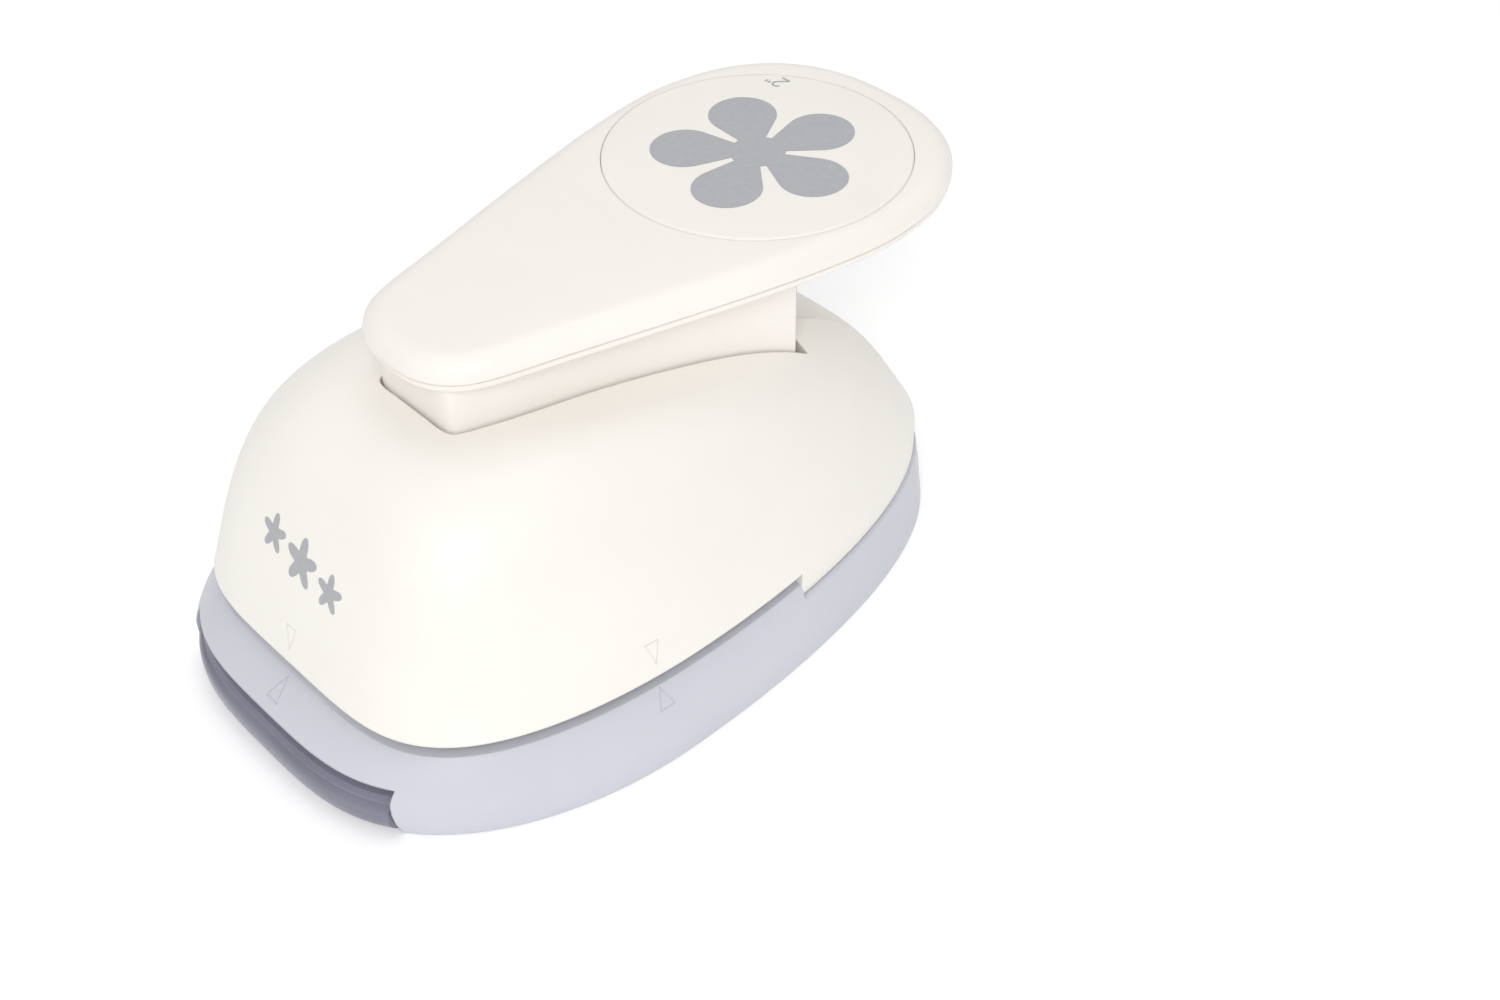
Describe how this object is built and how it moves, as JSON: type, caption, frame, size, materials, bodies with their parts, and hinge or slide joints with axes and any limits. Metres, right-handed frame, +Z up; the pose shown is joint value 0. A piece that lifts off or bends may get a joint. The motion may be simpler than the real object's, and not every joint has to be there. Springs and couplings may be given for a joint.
{
  "type": "craft punch",
  "caption": "Lever-action paper craft punch: domed cover over a paper slot, palm lever with a flower disc, steel punch and die, hinged chip tray.",
  "frame": {"origin": "centre of the object's footprint, on the surface it stands on", "axes": "+Z up, +Y towards the wide palm end of the lever, -Y towards the paper slot and the pivoted end, +X to the right"},
  "size_m": [0.096, 0.1488, 0.0722],
  "materials": {
    "cream_plastic": "satin, finely grained",
    "base_plastic": "satin, finely grained",
    "smoky_plastic": "translucent, polished",
    "disc_plastic": "satin",
    "print_grey": "pad printed",
    "steel": "ground",
    "dark_steel": "hardened",
    "spring_steel": "drawn wire"
  },
  "bodies": {
    "housing": {"base_housing": "base_plastic", "top_cover": "cream_plastic", "tray_hinge_pin": "steel", "pivot_pin": "steel", "pivot_clip_left": "dark_steel", "pivot_clip_right": "dark_steel", "steel_frame": "steel", "die_plate": "steel", "guide_plate": "steel", "plate_spacer_left": "steel", "plate_spacer_right": "steel", "guide_post_1": "steel", "guide_post_2": "steel", "guide_post_3": "steel", "guide_post_4": "steel", "return_spring_1": "spring_steel", "return_spring_2": "spring_steel", "return_spring_3": "spring_steel", "return_spring_4": "spring_steel", "housing_screw_1": "dark_steel", "housing_screw_2": "dark_steel", "housing_screw_3": "dark_steel", "housing_screw_4": "dark_steel", "plate_screw_1": "dark_steel", "plate_screw_2": "dark_steel", "frame_screw_1": "dark_steel", "frame_screw_2": "dark_steel"},
    "lever": {"lever_top_shell": "cream_plastic", "lever_lower_shell": "cream_plastic", "pattern_disc": "disc_plastic", "flower_inlay": "print_grey"},
    "punch": {"flower_punch": "dark_steel", "punch_head": "steel"},
    "tray": {"chip_tray": "smoky_plastic"}
  },
  "joints": [
    {"name": "lever_press", "type": "hinge", "parent": "housing", "child": "lever", "pos_m": [0, -0.029, 0.051], "axis": [-1, 0, 0], "range_deg": [0, 11], "stiffness_Nm_per_rad": 3, "springref_deg": -5.73},
    {"name": "punch_slide", "type": "slide", "parent": "housing", "child": "punch", "axis": [0, 0, -1], "range_m": [0, 0.0046], "deforming": ["return_spring_1", "return_spring_2", "return_spring_3", "return_spring_4"]},
    {"name": "tray_hinge", "type": "hinge", "parent": "housing", "child": "tray", "pos_m": [0, 0.0505, 0.0033], "axis": [1, 0, 0], "range_deg": [0, 70]}
  ],
  "couplings": [
    {"joint": "punch_slide", "follows": "lever_press", "m_per_rad": 0.0234}
  ]
}
